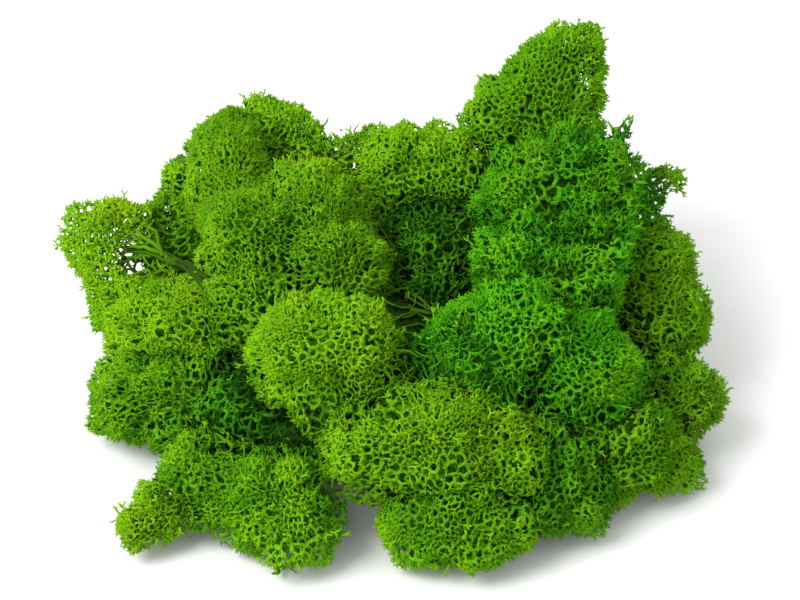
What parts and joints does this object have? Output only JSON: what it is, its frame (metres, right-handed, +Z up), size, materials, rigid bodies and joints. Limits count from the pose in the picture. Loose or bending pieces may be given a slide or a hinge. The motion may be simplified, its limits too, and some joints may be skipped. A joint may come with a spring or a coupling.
{
  "type": "reindeer moss clump",
  "caption": "Clump of reindeer moss: rounded heads of finely forked green tips pressed together over a bed of old stems, resting on a flat underside.",
  "frame": {"origin": "on the flat underside of the middle bed of stems, near the middle of the clump, in the plane it rests on", "axes": "+Z up from the surface it rests on; +X to the viewer's right along the clump's longest side; +Y to the back, towards the tall head"},
  "size_m": [0.1697, 0.1452, 0.0772],
  "materials": {
    "lime_moss": "matte",
    "vivid_moss": "matte",
    "deep_moss": "matte",
    "olive_moss": "matte",
    "old_stems": "matte"
  },
  "bodies": {
    "root": {"left_arm": "lime_moss", "upper_left": "vivid_moss", "upper_left_front": "olive_moss", "top_left_back": "deep_moss", "top_small": "vivid_moss", "centre_left": "olive_moss", "centre": "lime_moss", "left": "lime_moss", "left_low": "vivid_moss", "left_gap": "deep_moss", "front_left": "vivid_moss", "front_left_foot": "vivid_moss", "front_middle": "lime_moss", "front_low": "vivid_moss", "top_centre": "olive_moss", "inner_gap": "deep_moss", "tall": "vivid_moss", "right_upper": "deep_moss", "right_spur": "vivid_moss", "right_net": "vivid_moss", "right": "olive_moss", "centre_right": "vivid_moss", "right_low": "vivid_moss", "right_edge": "lime_moss", "front_right": "deep_moss", "stems_left": "old_stems", "stems_middle": "old_stems", "stems_right": "old_stems"}
  },
  "joints": []
}
